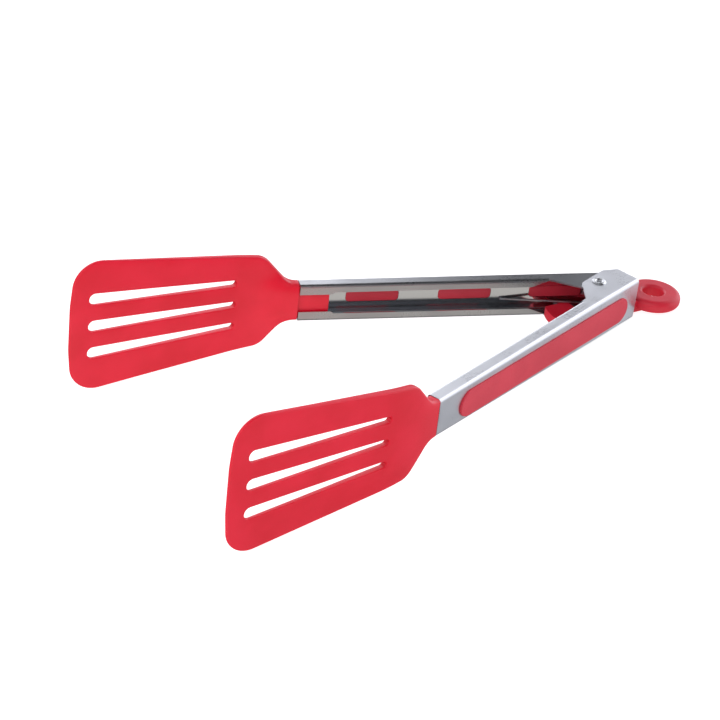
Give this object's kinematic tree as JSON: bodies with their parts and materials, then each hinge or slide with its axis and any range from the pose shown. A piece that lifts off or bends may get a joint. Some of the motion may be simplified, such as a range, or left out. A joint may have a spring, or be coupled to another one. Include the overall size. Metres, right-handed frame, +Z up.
{
  "type": "spring loaded kitchen tongs",
  "caption": "Spring loaded kitchen tongs: two stainless channel arms with slotted red blades, red grips, and a pull lock with a hanging ring.",
  "frame": {"origin": "bottom centre of the bounding box, on the surface that the open tongs rest on edge", "axes": "+X from the hanging ring towards the tips, +Z up; the pivot leans back from +Z by the resting tilt of 5.00 degrees"},
  "size_m": [0.3178, 0.155, 0.0701],
  "materials": {
    "steel": "fine brushed stainless sheet, polished bends",
    "rivet_steel": "polished",
    "spring_wire": "drawn spring wire",
    "blade_nylon": "satin moulded red, heat resistant",
    "grip_rubber": "soft satin red",
    "lock_plastic": "semi gloss moulded red"
  },
  "bodies": {
    "pivot": {"pivot_rivet": "rivet_steel", "pivot_sleeve": "rivet_steel", "torsion_spring": "spring_wire"},
    "outer": {"outer_arm": "steel", "outer_head": "blade_nylon", "outer_grip": "grip_rubber"},
    "inner": {"inner_arm": "steel", "inner_head": "blade_nylon", "inner_grip": "grip_rubber"},
    "lock": {"lock_slider": "lock_plastic"}
  },
  "joints": [
    {"name": "outer_swing", "type": "hinge", "parent": "pivot", "child": "outer", "pos_m": [-0.10528, 0, 0.01335], "axis": [-0.0871, 0, 0.9962], "range_deg": [-15.9, 0], "stiffness_Nm_per_rad": 0.6, "springref_deg": 20.05, "deforming": ["torsion_spring"]},
    {"name": "inner_swing", "type": "hinge", "parent": "pivot", "child": "inner", "pos_m": [-0.10528, 0, 0.01335], "axis": [-0.0871, 0, 0.9962], "range_deg": [0, 15.9], "stiffness_Nm_per_rad": 0.6, "springref_deg": -20.05},
    {"name": "lock_slide", "type": "slide", "parent": "pivot", "child": "lock", "axis": [-0.9962, 0, -0.0871], "range_m": [0, 0.004]}
  ],
  "couplings": [
    {"joint": "inner_swing", "follows": "outer_swing", "ratio": -1}
  ]
}
